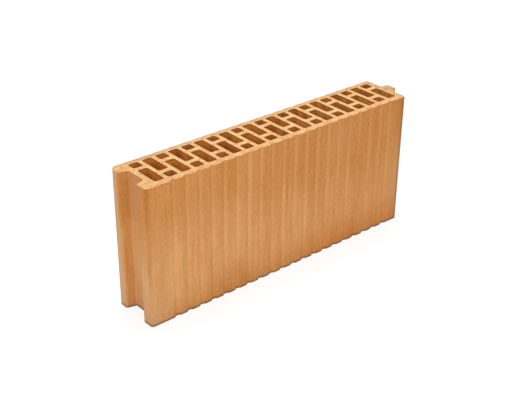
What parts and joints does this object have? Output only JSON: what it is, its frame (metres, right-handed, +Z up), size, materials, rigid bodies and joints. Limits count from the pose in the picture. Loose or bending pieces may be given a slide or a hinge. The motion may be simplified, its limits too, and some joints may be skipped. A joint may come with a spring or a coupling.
{
  "type": "hollow clay block",
  "caption": "Hollow fired-clay partition block with vertical holes, fluted side faces, a tongue on one end and a groove in the other.",
  "frame": {"origin": "middle of the overall box, tongue included, on the plane of the lower bed face", "axes": "+X along the block towards the tongue end, +Y through the thickness towards the back face, +Z up along the holes"},
  "size_m": [0.5096, 0.084, 0.219],
  "materials": {
    "fired_clay": "matt bare fired clay, extruded and wire-cut, unglazed"
  },
  "bodies": {
    "root": {"clay_block": "fired_clay"}
  },
  "joints": []
}
